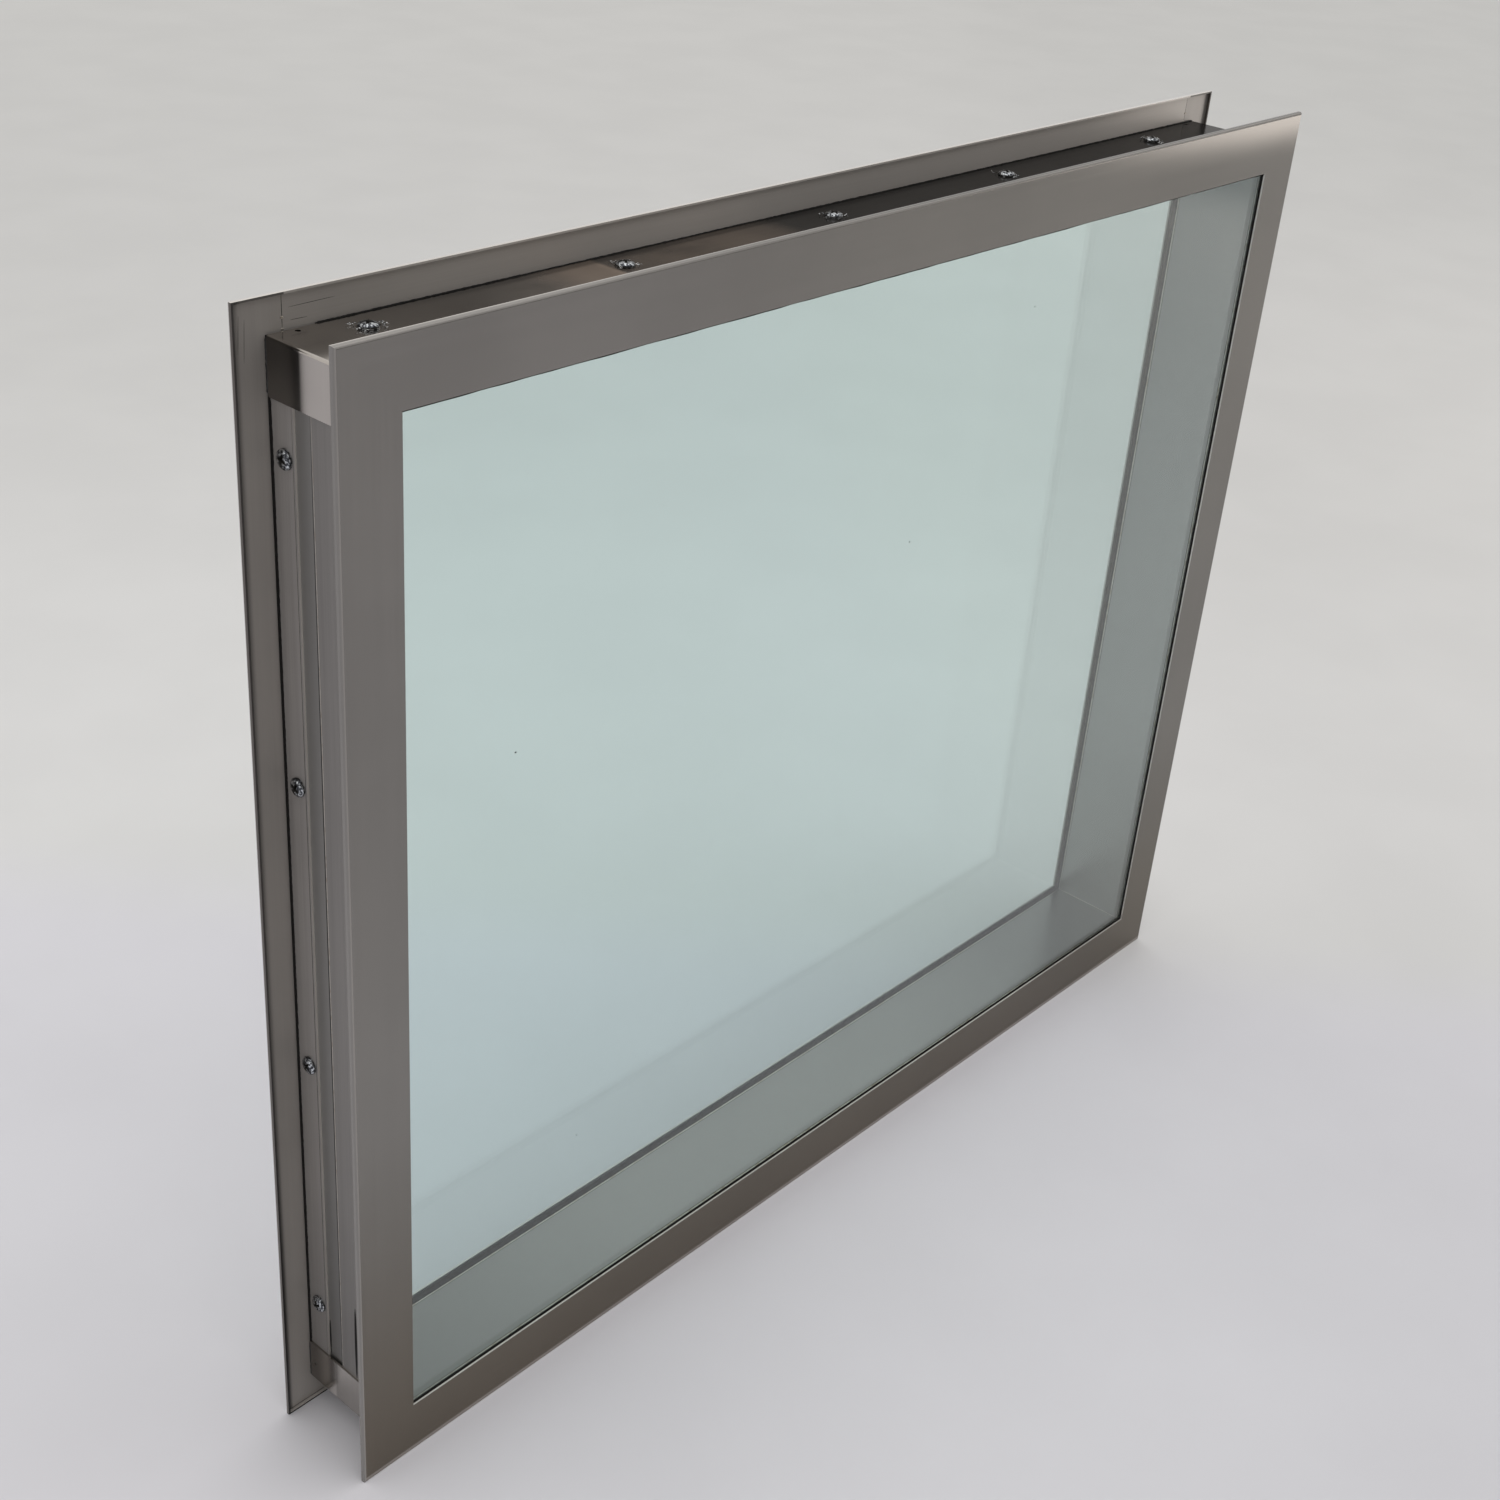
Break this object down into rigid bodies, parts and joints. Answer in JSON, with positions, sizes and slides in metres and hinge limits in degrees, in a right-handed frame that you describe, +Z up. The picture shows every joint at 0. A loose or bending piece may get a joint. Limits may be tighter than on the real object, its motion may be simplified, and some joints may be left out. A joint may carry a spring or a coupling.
{
  "type": "flush-mount double-glazed window for a partition panel",
  "caption": "Flush double-glazed window in a folded stainless frame, with trim flanges on both faces that clasp a wall panel and a screwed channel between them.",
  "frame": {"origin": "middle of the underside, between the lower edges of the two flanges", "axes": "+X along the width, to the right seen from the front; +Y from the front face to the back face; +Z up"},
  "size_m": [0.9, 0.082, 0.75],
  "materials": {
    "flange_steel": "satin stainless trim, fine hairline grain, near mirror",
    "web_steel": "mill stainless, faint roll lines and handling marks",
    "spacer_steel": "satin stainless reveal between the panes",
    "pane_glass": "clear toughened glass with a faint green cast",
    "glazing_tape": "black foam glazing tape, matt",
    "screw_zinc": "bright zinc-plated pan-head screws"
  },
  "bodies": {
    "root": {"back_flange_head": "flange_steel", "back_flange_left": "flange_steel", "back_flange_right": "flange_steel", "back_flange_sill": "flange_steel", "back_pane": "pane_glass", "back_tape_head": "glazing_tape", "back_tape_left": "glazing_tape", "back_tape_right": "glazing_tape", "back_tape_sill": "glazing_tape", "front_flange_head": "flange_steel", "front_flange_left": "flange_steel", "front_flange_right": "flange_steel", "front_flange_sill": "flange_steel", "front_pane": "pane_glass", "front_tape_head": "glazing_tape", "front_tape_left": "glazing_tape", "front_tape_right": "glazing_tape", "front_tape_sill": "glazing_tape", "head_screws": "screw_zinc", "head_web": "web_steel", "left_back_strip": "web_steel", "left_front_strip": "web_steel", "left_screws": "screw_zinc", "right_back_strip": "web_steel", "right_front_strip": "web_steel", "right_screws": "screw_zinc", "sill_screws": "screw_zinc", "sill_web": "web_steel", "spacer_head": "spacer_steel", "spacer_left": "spacer_steel", "spacer_right": "spacer_steel", "spacer_sill": "spacer_steel"}
  },
  "joints": []
}
